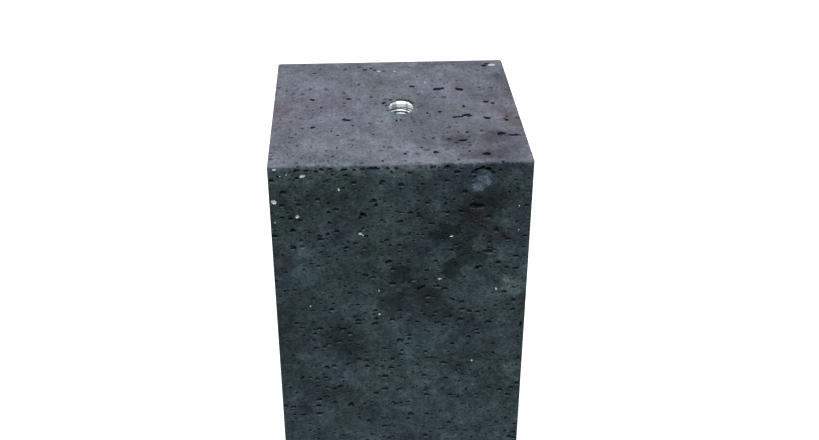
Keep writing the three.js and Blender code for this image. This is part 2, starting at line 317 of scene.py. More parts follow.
def makeConcrete(name, paintedLightLevel):
    # Anthracite concrete, coloured right through and cast against smooth steel: dull and cloudy, stained in
    # patches a few centimetres wide, with torn holes where air was caught and a paler skin on the top, partly
    # painted light; the holes carry painted shadow and painted light on their lower lips
    material = newMaterial(name)
    tree = material.node_tree
    place = addNode(tree, "ShaderNodeTexCoord").outputs["Object"]
    drawn = addNode(tree, "ShaderNodeVectorMath", {0: place, 1: (1, 0.65, 1)},
                    operation="MULTIPLY").outputs[0]
    sway = addNode(tree, "ShaderNodeTexNoise",
                   {"Vector": place, "Scale": 1 / (castSkin["swayWidth"] * mm), "Detail": 3})
    offset = addNode(tree, "ShaderNodeVectorMath", {0: sway.outputs["Color"], 1: (0.5, 0.5, 0.5)},
                     operation="SUBTRACT").outputs[0]
    wavering = addNode(tree, "ShaderNodeVectorMath", {0: offset, 1: (castSkin["sway"] * mm,) * 3, 2: place},
                       operation="MULTIPLY_ADD").outputs[0]
    fray = addNode(tree, "ShaderNodeTexNoise",
                   {"Vector": place, "Scale": 1 / (castSkin["frayWidth"] * mm), "Detail": 4,
                    "Roughness": 0.65})

    # the sides are greener than the top, as the cement skin is; the top's tones are also lighter as painted
    # light from above, and both drift between two tones
    drift = addNode(tree, "ShaderNodeTexNoise",
                    {"Vector": place, "Scale": 1 / (castSkin["driftWidth"] * mm), "Detail": 3})
    drift = addNode(tree, "ShaderNodeMapRange",
                    {"Value": drift.outputs["Fac"], "From Min": 0.36, "From Max": 0.64})
    sides = addNode(tree, "ShaderNodeMix",
                    {0: drift.outputs["Result"], 6: linear(concreteTones["sideGreen"]),
                     7: linear(concreteTones["sideBlue"])}, data_type="RGBA").outputs[2]
    topSkinAndLight = addNode(tree, "ShaderNodeMix",
                   {0: drift.outputs["Result"], 6: linear(concreteTones["topGrey"]),
                    7: linear(concreteTones["topViolet"])}, data_type="RGBA").outputs[2]
    height = addNode(tree, "ShaderNodeSeparateXYZ", {0: place}).outputs["Z"]
    creep = addNode(tree, "ShaderNodeTexNoise",
                    {"Vector": place, "Scale": 1 / (castSkin["creepWidth"] * mm), "Detail": 3})
    creep = addNode(tree, "ShaderNodeMapRange",
                    {"Value": creep.outputs["Fac"], "From Min": 0.45, "From Max": 0.7,
                     "To Max": castSkin["creepDepth"] * mm})
    reached = addNode(tree, "ShaderNodeMath", {0: height, 1: creep.outputs["Result"]})
    onTop = addNode(tree, "ShaderNodeMapRange",
                    {"Value": reached.outputs[0], "From Min": castSkin["topHeights"][0] * mm,
                     "From Max": castSkin["topHeights"][1] * mm})
    colour = addNode(tree, "ShaderNodeMix", {0: onTop.outputs["Result"], 6: sides, 7: topSkinAndLight},
                     data_type="RGBA").outputs[2]

    for face, across, down, wide, tall, turn, tone, strength in concretePatches:
        # the patch as a ball of radius 1, flattened and turned in the plane of its face
        upright = faces[face]["upward"] is up
        spin = math.radians(turn)
        deep = min(wide, tall)
        size = Vector((wide, deep, tall) if upright else (wide, tall, deep))
        local = addNode(tree, "ShaderNodeMapping",
                        {"Vector": wavering, "Location": pointOn(faces[face], across, down) * mm,
                         "Rotation": (0, spin, 0) if upright else (0, 0, -spin), "Scale": size * mm},
                        vector_type="TEXTURE")
        far = addNode(tree, "ShaderNodeVectorMath", {0: local.outputs[0]}, operation="LENGTH")
        frayed = addNode(tree, "ShaderNodeMath",
                         {0: fray.outputs["Fac"], 1: castSkin["fray"], 2: far.outputs["Value"]},
                         operation="MULTIPLY_ADD")
        edge = castSkin["stainEdge" if tone == "stain" else "dustEdge"]
        mask = addNode(tree, "ShaderNodeMapRange",
                       {"Value": frayed.outputs[0], "From Min": castSkin["patchRim"] + edge,
                        "From Max": castSkin["patchRim"] - edge, "To Max": strength},
                       interpolation_type="SMOOTHSTEP")
        colour = addNode(tree, "ShaderNodeMix",
                         {0: mask.outputs["Result"], 6: colour, 7: linear(concreteTones[tone])},
                         data_type="RGBA").outputs[2]

    # the rest of the block has stains and dust of its own
    across, down, level = addNode(tree, "ShaderNodeSeparateXYZ", {0: place}).outputs
    behind = addNode(tree, "ShaderNodeMapRange", {"Value": down, "From Min": -74 * mm, "From Max": -72 * mm})
    below = addNode(tree, "ShaderNodeMapRange", {"Value": level, "From Min": 310 * mm, "From Max": 285 * mm})
    elsewhere = addNode(tree, "ShaderNodeMath", {0: behind.outputs["Result"], 1: below.outputs["Result"]},
                        operation="MAXIMUM")
    elsewhere = addNode(tree, "ShaderNodeMath", {0: elsewhere.outputs[0], 1: onTop.outputs["Result"]},
                        operation="SUBTRACT", use_clamp=True)
    spread = addNode(tree, "ShaderNodeTexNoise",
                     {"Vector": wavering, "Scale": 1 / (30 * mm), "Detail": 4, "Roughness": 0.6})
    for start, end, strength, tone in ((0.53, 0.62, 0.6, "stain"), (0.47, 0.36, 0.6, "sideLight")):
        mask = addNode(tree, "ShaderNodeMapRange", {"Value": spread.outputs["Fac"], "From Min": start,
                                                    "From Max": end, "To Max": strength},
                       interpolation_type="SMOOTHSTEP")
        mask = addNode(tree, "ShaderNodeMath", {0: mask.outputs["Result"], 1: elsewhere.outputs[0]},
                       operation="MULTIPLY")
        colour = addNode(tree, "ShaderNodeMix",
                         {0: mask.outputs[0], 6: colour, 7: linear(concreteTones[tone])},
                         data_type="RGBA").outputs[2]

    brightness = 1.0
    for width, fineness, darker, lighter in concreteClouds:
        cloud = addNode(tree, "ShaderNodeTexNoise",
                        {"Vector": drawn, "Scale": 1 / (width * mm), "Detail": fineness, "Roughness": 0.6})
        shade = addNode(tree, "ShaderNodeMapRange",
                        {"Value": cloud.outputs["Fac"], "From Min": 0.3, "From Max": 0.7, "To Min": darker,
                         "To Max": lighter})
        brightness = addNode(tree, "ShaderNodeMath", {0: shade.outputs["Result"], 1: brightness},
                             operation="MULTIPLY").outputs[0]
    contrast = addNode(tree, "ShaderNodeMapRange",
                       {"Value": onTop.outputs["Result"], "To Min": castSkin["sideContrast"],
                        "To Max": castSkin["topContrast"]})
    brightness = addNode(tree, "ShaderNodeMath", {0: brightness, 1: contrast.outputs["Result"]},
                         operation="POWER").outputs[0]
    brightness = addNode(tree, "ShaderNodeMath", {0: brightness, 1: paintedLightLevel},
                         operation="MULTIPLY").outputs[0]
    grey = addNode(tree, "ShaderNodeCombineColor", {0: brightness, 1: brightness, 2: brightness})
    colour = addNode(tree, "ShaderNodeMix", {0: 1.0, 6: colour, 7: grey.outputs[0]}, data_type="RGBA",
                     blend_type="MULTIPLY").outputs[2]

    # relief in millimetres: a slight waviness, sand, and the torn holes, with painted shadow above and
    # painted light below
    wave = addNode(tree, "ShaderNodeTexNoise",
                   {"Vector": place, "Scale": 1 / (castSkin["waveWidth"] * mm), "Detail": 2})
    relief = addNode(tree, "ShaderNodeMath", {0: wave.outputs["Fac"], 1: castSkin["waveDepth"]},
                     operation="MULTIPLY").outputs[0]
    relief = addNode(tree, "ShaderNodeMath", {0: cloud.outputs["Fac"], 1: castSkin["sandDepth"], 2: relief},
                     operation="MULTIPLY_ADD").outputs[0]
    # on the top the holes are smaller, shallower and paler, their painted shadow weaker
    smaller = addNode(tree, "ShaderNodeMath", {0: onTop.outputs["Result"], 1: 0.12, 2: fray.outputs["Fac"]},
                      operation="MULTIPLY_ADD")
    paler = addNode(tree, "ShaderNodeMapRange",
                    {"Value": onTop.outputs["Result"], "To Min": 1, "To Max": 0.5})
    for width, flatness, reach, share, dark, pale, depth in concretePocks:
        flattened = addNode(tree, "ShaderNodeVectorMath", {0: place, 1: (1, 1, flatness)},
                            operation="MULTIPLY")
        cells = addNode(tree, "ShaderNodeTexVoronoi",
                        {"Vector": flattened.outputs[0], "Scale": 1 / (width * mm)})
        pick = addNode(tree, "ShaderNodeSeparateColor", {0: cells.outputs["Color"]})
        size = addNode(tree, "ShaderNodeMapRange",
                       {"Value": pick.outputs[0], "From Min": 1 - share, "To Min": -0.1, "To Max": reach})
        torn = addNode(tree, "ShaderNodeMath", {0: smaller.outputs[0], 1: 0.8, 2: cells.outputs["Distance"]},
                       operation="MULTIPLY_ADD")
        torn = addNode(tree, "ShaderNodeMath", {0: torn.outputs[0], 1: size.outputs["Result"]},
                       operation="SUBTRACT")
        inside = addNode(tree, "ShaderNodeMapRange",
                         {"Value": torn.outputs[0], "From Min": 0.46, "From Max": 0.38},
                         interpolation_type="SMOOTHSTEP").outputs["Result"]
        inside = addNode(tree, "ShaderNodeMath", {0: inside, 1: paler.outputs["Result"]},
                         operation="MULTIPLY").outputs[0]
        fromMiddle = addNode(tree, "ShaderNodeVectorMath",
                             {0: flattened.outputs[0], 1: cells.outputs["Position"]}, operation="SUBTRACT")
        rise = addNode(tree, "ShaderNodeSeparateXYZ", {0: fromMiddle.outputs[0]}).outputs["Z"]
        lower = addNode(tree, "ShaderNodeMapRange", {"Value": rise, "From Min": -0.08 * width * mm,
                                                     "From Max": -0.16 * width * mm})
        lower = addNode(tree, "ShaderNodeMath", {0: lower.outputs["Result"], 1: onTop.outputs["Result"]},
                        operation="SUBTRACT", use_clamp=True)
        # the lower part of each hole gets painted light, as lit from above; the rest of it gets painted
        # shadow
        lip = addNode(tree, "ShaderNodeMath", {0: inside, 1: lower.outputs[0]}, operation="MULTIPLY")
        shadow = addNode(tree, "ShaderNodeMath", {0: inside, 1: lip.outputs[0]}, operation="SUBTRACT")
        for mask, strength, tone in ((shadow, dark, "holeShadow"), (lip, pale, "ledgeDustAndLight")):
            faded = addNode(tree, "ShaderNodeMath", {0: mask.outputs[0], 1: strength}, operation="MULTIPLY")
            colour = addNode(tree, "ShaderNodeMix",
                             {0: faded.outputs[0], 6: colour, 7: linear(concreteTones[tone])},
                             data_type="RGBA").outputs[2]
        relief = addNode(tree, "ShaderNodeMath", {0: inside, 1: -depth, 2: relief},
                         operation="MULTIPLY_ADD").outputs[0]

    grains = addNode(tree, "ShaderNodeTexVoronoi", {"Vector": place, "Scale": 1 / (bareSand["cell"] * mm)})
    pick = addNode(tree, "ShaderNodeSeparateColor", {0: grains.outputs["Color"]})
    size = addNode(tree, "ShaderNodeMapRange", {"Value": pick.outputs[1], "From Min": 1 - bareSand["share"],
                                                "To Min": -0.1, "To Max": bareSand["reach"]})
    near = addNode(tree, "ShaderNodeMath", {0: smaller.outputs[0], 1: 0.9, 2: grains.outputs["Distance"]},
                   operation="MULTIPLY_ADD")
    near = addNode(tree, "ShaderNodeMath", {0: near.outputs[0], 1: size.outputs["Result"]},
                   operation="SUBTRACT")
    bare = addNode(tree, "ShaderNodeMapRange", {"Value": near.outputs[0], "From Min": 0, "From Max": -0.14,
                                                "To Max": bareSand["strength"]})
    sand = addNode(tree, "ShaderNodeMix",
                   {0: onTop.outputs["Result"], 6: linear(concreteTones["sandGrain"]),
                    7: linear(concreteTones["dustySand"])}, data_type="RGBA").outputs[2]
    colour = addNode(tree, "ShaderNodeMix", {0: bare.outputs["Result"], 6: colour, 7: sand},
                     data_type="RGBA").outputs[2]

    # every ledge of the sides that faces up is paler: partly dust lying on it, partly painted light from
    # above
    facing = addNode(tree, "ShaderNodeNewGeometry").outputs["Normal"]
    facingUp = addNode(tree, "ShaderNodeSeparateXYZ", {0: facing}).outputs["Z"]
    ledge = addNode(tree, "ShaderNodeMapRange", {"Value": facingUp, "From Min": 0.3, "From Max": 0.9,
                                                 "To Max": castSkin["ledgeShare"]})
    ledge = addNode(tree, "ShaderNodeMath", {0: ledge.outputs["Result"], 1: onTop.outputs["Result"]},
                    operation="SUBTRACT", use_clamp=True)
    colour = addNode(tree, "ShaderNodeMix",
                     {0: ledge.outputs[0], 6: colour, 7: linear(concreteTones["ledgeDustAndLight"])},
                     data_type="RGBA").outputs[2]

    bump = addNode(tree, "ShaderNodeBump", {"Height": relief, "Strength": 1.0, "Distance": 1 * mm})
    dull = addNode(tree, "ShaderNodeMapRange",
                   {"Value": wave.outputs["Fac"], "From Min": 0.3, "From Max": 0.7, "To Min": 0.82,
                    "To Max": 0.95})
    shader = addNode(tree, "ShaderNodeBsdfPrincipled",
                     {"Base Color": colour, "Roughness": dull.outputs["Result"], "Normal": bump.outputs[0],
                      "Specular IOR Level": castSkin["specular"]})
    addNode(tree, "ShaderNodeOutputMaterial", {"Surface": shader.outputs[0]})
    return material


limestoneTones = {"chalk": "#dde2e1", "shade": "#8d979b", "cementDust": "#5f636b"}


def makeGrain():
    # Limestone grain of the aggregate, worn flat with the face: chalky against the dark cement, dusty on the
    # top
    material = newMaterial("limestone_grain")
    tree = material.node_tree
    place = addNode(tree, "ShaderNodeTexCoord").outputs["Object"]
    cloud = addNode(tree, "ShaderNodeTexNoise", {"Vector": place, "Scale": 1 / (0.9 * mm), "Detail": 3})
    cloud = addNode(tree, "ShaderNodeMapRange",
                    {"Value": cloud.outputs["Fac"], "From Min": 0.35, "From Max": 0.65})
    colour = addNode(tree, "ShaderNodeMix",
                     {0: cloud.outputs["Result"], 6: linear(limestoneTones["shade"]),
                      7: linear(limestoneTones["chalk"])}, data_type="RGBA").outputs[2]
    height = addNode(tree, "ShaderNodeSeparateXYZ", {0: place}).outputs["Z"]
    dust = addNode(tree, "ShaderNodeMapRange", {"Value": height, "From Min": 498 * mm, "From Max": 499 * mm,
                                                "To Max": 0.45})
    colour = addNode(tree, "ShaderNodeMix",
                     {0: dust.outputs["Result"], 6: colour, 7: linear(limestoneTones["cementDust"])},
                     data_type="RGBA").outputs[2]
    shader = addNode(tree, "ShaderNodeBsdfPrincipled", {"Base Color": colour, "Roughness": 0.7})
    addNode(tree, "ShaderNodeOutputMaterial", {"Surface": shader.outputs[0]})
    return material


zincFinish = {
    "plated": "#f0f3f4",
    "thinAndDarkReflection": "#7d878d",
    "threadRootShade": "#3c4c54",
    "streakWidth": 4,
    "darkReflectionRuns": ((-3.9, 1.7), (3.9, 0.7)),  # painted dark reflections: sideways from the middle, and half width
    "metallic": 0.15,  # the plating is frosted, so it scatters the light more than bare metal does
    "thinRoughness": 0.6,
    "platedRoughness": 0.42,
}


def makeZincPlate():
    # Steel, zinc plated after turning: blue-white in upright streaks, partly where the plating ran and partly
    # painted reflection, with painted dark reflections in two upright runs and painted shade, tinted teal, in
    # the roots of the thread
    material = newMaterial("bright_zinc_plate")
    tree = material.node_tree
    place = addNode(tree, "ShaderNodeTexCoord").outputs["Object"]
    drawn = addNode(tree, "ShaderNodeVectorMath", {0: place, 1: (1, 1, 0.15)}, operation="MULTIPLY")
    streak = addNode(tree, "ShaderNodeTexNoise",
                     {"Vector": drawn.outputs[0], "Scale": 1 / (zincFinish["streakWidth"] * mm), "Detail": 3,
                      "Roughness": 0.6})
    streak = addNode(tree, "ShaderNodeMapRange",
                     {"Value": streak.outputs["Fac"], "From Min": 0.34, "From Max": 0.48},
                     interpolation_type="SMOOTHSTEP").outputs["Result"]
    sideways = addNode(tree, "ShaderNodeSeparateXYZ", {0: place}).outputs["X"]
    # two upright runs of painted dark reflection
    for offset, halfWidth in zincFinish["darkReflectionRuns"]:
        away = addNode(tree, "ShaderNodeMath", {0: sideways, 1: (socket["place"][0] + offset) * mm},
                       operation="SUBTRACT")
        away = addNode(tree, "ShaderNodeMath", {0: away.outputs[0]}, operation="ABSOLUTE")
        kept = addNode(tree, "ShaderNodeMapRange",
                       {"Value": away.outputs[0], "From Min": (halfWidth - 0.4) * mm,
                        "From Max": (halfWidth + 0.4) * mm, "To Min": 0.25})
        streak = addNode(tree, "ShaderNodeMath", {0: streak, 1: kept.outputs["Result"]},
                         operation="MULTIPLY").outputs[0]
    colour = addNode(tree, "ShaderNodeMix",
                     {0: streak, 6: linear(zincFinish["thinAndDarkReflection"]), 7: linear(zincFinish["plated"])},
                     data_type="RGBA").outputs[2]
    fromAxis = addNode(tree, "ShaderNodeVectorMath",
                       {0: place, 1: (socket["place"][0] * mm, socket["place"][1] * mm, 0)},
                       operation="SUBTRACT")
    fromAxis = addNode(tree, "ShaderNodeVectorMath", {0: fromAxis.outputs[0], 1: (1, 1, 0)},
                       operation="MULTIPLY")
    radius = addNode(tree, "ShaderNodeVectorMath", {0: fromAxis.outputs[0]},
                     operation="LENGTH").outputs["Value"]
    # painted shade in the roots of the thread, below the lead-in
    root = addNode(tree, "ShaderNodeMapRange",
                   {"Value": radius, "From Min": (socket["thread"] / 2 - 0.75) * mm,
                    "From Max": (socket["thread"] / 2 - 0.25) * mm})
    height = addNode(tree, "ShaderNodeSeparateXYZ", {0: place}).outputs["Z"]
    threadTop = block["height"] - socket["rimDepth"] - socket["leadInDepth"] + 0.2
    threaded = addNode(tree, "ShaderNodeMath", {0: height, 1: threadTop * mm}, operation="LESS_THAN")
    rootShade = addNode(tree, "ShaderNodeMath", {0: root.outputs["Result"], 1: threaded.outputs[0]},
                   operation="MULTIPLY")
    colour = addNode(tree, "ShaderNodeMix",
                     {0: rootShade.outputs[0], 6: colour, 7: linear(zincFinish["threadRootShade"])},
                     data_type="RGBA").outputs[2]
    shine = addNode(tree, "ShaderNodeMapRange",
                    {"Value": streak, "To Min": zincFinish["thinRoughness"],
                     "To Max": zincFinish["platedRoughness"]})
    shader = addNode(tree, "ShaderNodeBsdfPrincipled",
                     {"Base Color": colour, "Metallic": zincFinish["metallic"],
                      "Roughness": shine.outputs["Result"]})
    addNode(tree, "ShaderNodeOutputMaterial", {"Surface": shader.outputs[0]})
    return material


castFace = makeConcrete("cast_anthracite_concrete", 1.0)
# copies of the concrete, darkened or lightened as painted shade and light: a little painted shade in open
# voids, deep painted shadow in deep voids, cracks and the sleeve's room, painted light in the shell hollow
openPoreShade = makeConcrete("open_void_shaded_concrete", 0.85)
deepPoreShadow = makeConcrete("deep_void_shadow_concrete", 0.16)
shellPaintedLight = makeConcrete("hollow_painted_light_concrete", 2.3)
limestone = makeGrain()
zincPlate = makeZincPlate()
blockMaterials = [castFace, openPoreShade, deepPoreShadow, shellPaintedLight, limestone]
castSlot, openShadeSlot, deepShadowSlot, shellLightSlot, grainSlot = 0, 1, 2, 3, 4
print("materials made")


# Lumps: uneven balls in the shape of the air bubbles, chips and grains that the cast face shows

lumpShapes = {}
lumpKinds = 7
smallLump, middlingLump = 1.1, 4  # half widths in millimetres under which a lump gets fewer faces
lumpBulge = 1.4  # how far a crumpled ball reaches, against its half width
for kind in range(lumpKinds):
    crumple = bpy.data.textures.new("crumple", "CLOUDS")
    crumple.noise_scale = 0.55 + 0.14 * kind
    for level in (1, 2, 3):
        bpy.ops.mesh.primitive_ico_sphere_add(subdivisions=level, radius=1)
        ball = bpy.context.object
        applyModifier(ball, "DISPLACE", texture=crumple, strength=1.1)
        bpy.ops.object.mode_set(mode="EDIT")
        bpy.ops.transform.vertex_random(offset=0.2 / level, uniform=0.6, seed=17 * level + kind)
        bpy.ops.object.mode_set(mode="OBJECT")
        lumpShapes[level, kind] = ball.data
        bpy.data.objects.remove(ball)


def anyKind(random):
    return int(random(0, lumpKinds - 0.01))


def makeLump(face, centre, half, turn, kind):
    widest = max(half)
    level = 1 if widest < smallLump else 2 if widest < middlingLump else 3
    return {"face": face, "centre": centre, "half": half, "turn": turn, "shape": (level, kind),
            "reach": widest * lumpBulge}


def makeVoid(face, across, down, wide, tall, deep, turn, kind):
    lift = deep * 0.25  # the lump's middle stands out of the face, so that the rim slopes
    return makeLump(face, pointOn(face, across, down, lift), (wide / 2, tall / 2, deep + lift), turn, kind)


def placeLump(lump):
    piece = bpy.data.objects.new("lump", lumpShapes[lump["shape"]].copy())
    bpy.context.collection.objects.link(piece)
    face = lump["face"]
    axes = Matrix((face["across"], face["upward"], face["out"])).transposed().to_4x4()
    piece.matrix_world = (Matrix.Translation(lump["centre"] * mm) @ axes
                          @ Matrix.Rotation(math.radians(lump["turn"]), 4, "Z")
                          @ Matrix.Diagonal(Vector(lump["half"]) * mm).to_4x4())
    return piece


def apart(lump, others):
    return all((lump["centre"] - other["centre"]).length > lump["reach"] + other["reach"] for other in others)


def cutLumps(piece, lumps, slot):
    # lumps that touch each other are cut in separate rounds
    rounds = []
    for lump in lumps:
        for members in rounds:
            if apart(lump, members):
                members.append(lump)
                break
        else:
            rounds.append([lump])
    for members in rounds:
        cutter = joined([placeLump(lump) for lump in members])
        for one in blockMaterials:
            cutter.data.materials.append(one)
        cutter.data.polygons.foreach_set("material_index", [slot] * len(cutter.data.polygons))
        cutOut(piece, cutter)


# What stands out on the front: across, down, wide, tall, deep, turn.
frontVoids = [
    (116.2, 9.6, 2.2, 1.6, 1.8, 30),
    (115.6, 13.4, 2.4, 1.4, 1.6, 10),
    (119, 29, 9.5, 3.8, 4.5, 6),
    (110, 32.3, 3.6, 2.2, 2.4, 12),
    (53, 33, 3.8, 4.4, 3.4, 40),
    (28, 46, 2.8, 2.4, 2.2, 0),
    (66, 50, 2.9, 1.9, 1.8, 10),
    (92, 39.5, 4.4, 1.8, 1.8, 0),
    (22, 64.5, 3, 1.5, 1.4, 20),
    (38, 76, 3, 1.5, 1.4, 0),
    (87, 83.5, 6.4, 2.2, 2, 52),
    (34, 93, 2.4, 2, 1.6, 0),
    (139, 97.5, 2.4, 2, 1.6, 0),
    (14.5, 110, 3.6, 1.6, 1.6, 0),
    (59, 108.5, 4, 3.2, 3, 0),
    (110, 107.5, 5.6, 3, 3.2, 24),
    (97, 109.2, 4.6, 2.4, 2.4, 18),
    (103, 105.2, 5, 1.4, 1.2, -14),
    (128, 110, 3.6, 3, 2.6, 10),
    (147.5, 112, 2, 5, 2, 0),
    (37.5, 121, 4.4, 2.2, 2.2, 14),
    (31.5, 118.2, 3.4, 1.6, 1.6, 10),
    (73.5, 121.5, 4, 3.4, 3, 30),
    (66, 127.5, 3.4, 2.2, 2, 0),
    (92.5, 135.5, 5, 2.6, 2.6, 0),
    (13.5, 148, 2, 4, 1.6, 0),
    (18, 148, 2.4, 2.8, 1.8, 0),
    (61, 148.5, 2.4, 1.8, 1.4, 0),
    (102.5, 152, 2.8, 2.4, 2, 0),
    (36, 156, 3, 3, 2.6, 0),
    (28, 163.5, 3, 2.5, 2, 0),
    (144, 161, 3.4, 2.8, 2.6, 0),
    (33, 169, 3.2, 1.8, 1.6, 0),
    (42.8, 170.5, 3.4, 4.6, 2.8, -30),
    (71.2, 171, 3, 3.4, 2.4, 30),
    (13, 177.5, 3, 3, 2.4, 0),
    (103, 190.5, 4, 1.6, 1.6, 0),
    (122, 192, 3, 2.2, 2, 0),
    (56.5, 195.5, 3, 2.2, 2, 0),
    (16.5, 3, 4, 2, 2, 5),  # from here on a row of breaks just under the arris
    (22, 3.4, 2.8, 1.8, 1.8, 0),
    (30, 2.8, 3, 1.8, 1.8, -10),
    (35, 2.6, 2.6, 1.8, 1.8, 0),
    (42.5, 3.4, 4.6, 2.2, 2.2, 8),
    (48.5, 3.6, 2.4, 1.8, 1.6, 0),
    (58.5, 3, 7.4, 2.4, 2.4, -3),
    (67, 2.8, 2.8, 1.8, 1.8, 0),
    (72.5, 3.2, 2.6, 1.8, 1.6, 12),
    (93, 2.8, 3.4, 1.8, 1.8, 0),
    (101, 2.6, 3.8, 1.8, 1.8, -6),
]

# Voids in the front whose lower lip catches the light.
openVoids = [
    (125, 36, 4.4, 3.4, 1.6, 15),
    (130, 45.2, 3.4, 4.2, 1.8, 50),
    (125.5, 59.5, 8.4, 3.4, 2.6, -8),
    (82, 78, 3.6, 2.6, 1.8, 20),
    (89, 78, 3.6, 2.6, 1.8, 20),
    (96, 83, 4.4, 2.2, 2, 16),
    (6.7, 83, 5.4, 2.6, 1.8, 4),
    (26, 66.5, 3, 2.8, 2.2, 0),
    (30, 123, 3.4, 3, 2.2, 20),
]

# A shell-shaped hollow in the front near its top right corner, and the deep undercut along its upper edge.
shellHollow = [
    (121.4, 11, 11, 11, 0.8, 0),
    (119.2, 14.4, 9, 9, 0.7, 30),
]
shellUndercut = [
    (117.2, 5.4, 4.4, 2.2, 3.4, 30),
    (120.4, 4.2, 4.6, 3, 3.8, 5),
    (124, 5, 4.6, 2.8, 3.8, -22),
    (126.8, 7, 3.6, 2.2, 3.2, -45),
]

# The same on the top, where down runs from the back edge to the front edge.
topVoids = [
    (136.5, 10.5, 3.6, 3.4, 1.6, 0),  # breaks at the back right corner
    (139, 7.4, 4, 2.2, 1.4, 0),
    (57.5, 14, 3.2, 2.6, 1.2, 20),
    (61.5, 12.2, 2.6, 2.2, 1.2, 0),
    (64.2, 14.8, 3, 2.6, 1.2, -20),
    (44.5, 13, 2.4, 2.2, 1.2, 0),
    (24.5, 18, 3, 2.2, 1.2, 0),
    (74.8, 94, 1.4, 3.4, 1.2, 0),
    (77.4, 93, 1.2, 3, 1.2, 10),
    (88, 77, 2, 2, 1.2, 0),
    (94, 84, 1.8, 2.4, 1.2, 0),
    (103, 48, 7.4, 4.6, 2.6, 18),
    (117, 49, 5.4, 5, 2.6, 0),
    (87, 43, 4.4, 3.4, 1.4, 0),
    (111.2, 90.4, 7.5, 2.8, 2.4, 16),
    (117, 88, 7, 3.8, 3, 26),
    (45, 91.5, 4.6, 3.6, 2.2, -20),
    (24.8, 100.8, 3.6, 2.8, 1.8, 0),
    (18.5, 102, 1.8, 2, 1.4, 0),
    (24, 61, 3, 4, 1.8, 20),
    (46.5, 60.8, 3.4, 2.8, 2, 0),
    (60.5, 58.5, 2.4, 2.2, 1.6, 0),
    (48.5, 99, 2, 2, 1.6, 0),
    (39.5, 112.5, 2, 2.4, 1.6, 0),
    (135, 114.8, 5.4, 4.2, 2.4, 40),
    (141.8, 117, 7.6, 2.4, 2.4, -6),
    (111.8, 122.6, 5.6, 3.2, 2.4, 0),
    (104, 120.5, 3.4, 1.8, 1.2, -15),
    (107.5, 125.5, 3, 1.6, 1.2, 10),
    (124, 140.2, 4.4, 5.2, 2.8, 10),
    (95.2, 137.2, 3.6, 3.6, 2, 0),
    (95, 119, 2.2, 2, 1.6, 0),
    (130, 93, 4.4, 3.6, 2, 0),
    (141, 96, 2.6, 4, 1.6, 0),
    (131.2, 69, 3.6, 3.6, 2, 0),
    (135.5, 71.5, 2.6, 3, 1.8, 0),
    (101.5, 82.5, 2.6, 3.4, 2, 10),
    (117, 75, 2.4, 4, 1.6, 0),
    (77.5, 138, 2.4, 3, 1.4, 0),
]

# Light grains of the aggregate that the cast face shows: face, across, down, wide, tall, turn.
paleGrains = [
    ("front", 4, 2, 2.6, 1.5, 0),
    ("front", 19.5, 6.5, 3.6, 2, 14),
    ("front", 10.5, 5.5, 1.2, 1, 0),
    ("front", 7, 6.5, 1.2, 1, 0),
    ("front", 2.6, 22.5, 3.4, 2.8, -40),
    ("front", 15.5, 32.5, 2.6, 2, 30),
    ("front", 2.6, 36, 1.6, 1, 0),
    ("front", 51, 44.8, 2.4, 2, 0),
    ("front", 53, 46.2, 3, 1, -40),
    ("front", 39.5, 15.5, 1.2, 2.4, 10),
    ("front", 103.8, 48, 2.2, 1.6, 0),
    ("front", 97.5, 77.3, 2.2, 1.6, 0),
    ("front", 61.5, 101.5, 1.6, 1.2, 0),
    ("front", 20.5, 94.3, 1.1, 1.1, 0),
    ("front", 61.5, 84.5, 1.2, 1.6, 0),
    ("front", 143, 45, 1.2, 1, 0),
    ("front", 142.5, 29, 1.2, 1, 0),
    ("front", 118.5, 138.5, 1.6, 1.6, 0),
    ("front", 131.5, 85.5, 1.2, 2.2, 20),
    ("top", 66.5, 17, 3, 2, 20),
    ("top", 77, 17.5, 1.6, 2.2, 0),
    ("top", 95.8, 36.5, 1, 4, 0),
    ("top", 142.2, 9.6, 5.4, 3.6, 8),
]


def listedVoids(face, rows):
    random = randomRun(97 + len(rows))
    lumps = []
    for across, down, wide, tall, deep, turn in rows:
        lumps.append(makeVoid(face, across, down, wide, tall, deep, turn, anyKind(random)))
        if wide > 2.5:
            # a second bubble broke into it, which makes its outline uneven
            side = math.copysign(random(0.3, 0.45), random(-1, 1)) * wide
            lumps.append(makeVoid(face, across + side, down + tall * random(-0.4, 0.4),
                                  wide * random(0.4, 0.65), tall * random(0.5, 0.8), deep * 0.7,
                                  turn + random(-40, 40), anyKind(random)))
    return lumps


def deepCracks():
    # the shell's undercut, air caught against the sleeve, and the film cracked along the rim's far side
    random = randomRun(61)
    lumps = [makeVoid(faces["front"], *row, anyKind(random)) for row in shellUndercut]
    # angle round the socket, distance from its middle, wide, tall, deep
    broken = [(119, 12.3, 3.2, 2.6, 2.5), (150, 12.1, 4.6, 1.9, 2.5), (164, 9.6, 2.4, 1.5, 0.3),
              (211, 9.8, 2.2, 2, 0.3)]
    broken += [(angle, 9.3 + 0.03 * (angle - 25), 3, 1.8, 0.3) for angle in range(37, 108, 12)]
    for angle, distance, wide, tall, deep in broken:
        turn = math.radians(angle)
        across = block["width"] / 2 + socket["place"][0] + distance * math.cos(turn)
        down = block["depth"] / 2 - socket["place"][1] - distance * math.sin(turn)
        lumps.append(makeVoid(faces["top"], across, down, wide, tall, deep, angle - 90, anyKind(random)))
    # a crack curls under a large stone near the front's surface
    for step in range(9):
        angle = math.radians(205 + step * 16)
        across, down = 116.3 + 8 * math.cos(angle), 142.5 - 7.6 * math.sin(angle)
        lumps.append(makeVoid(faces["front"], across, down, 2.6, 1.1, 1.1, math.degrees(angle) + 90,
                              anyKind(random)))
    return lumps


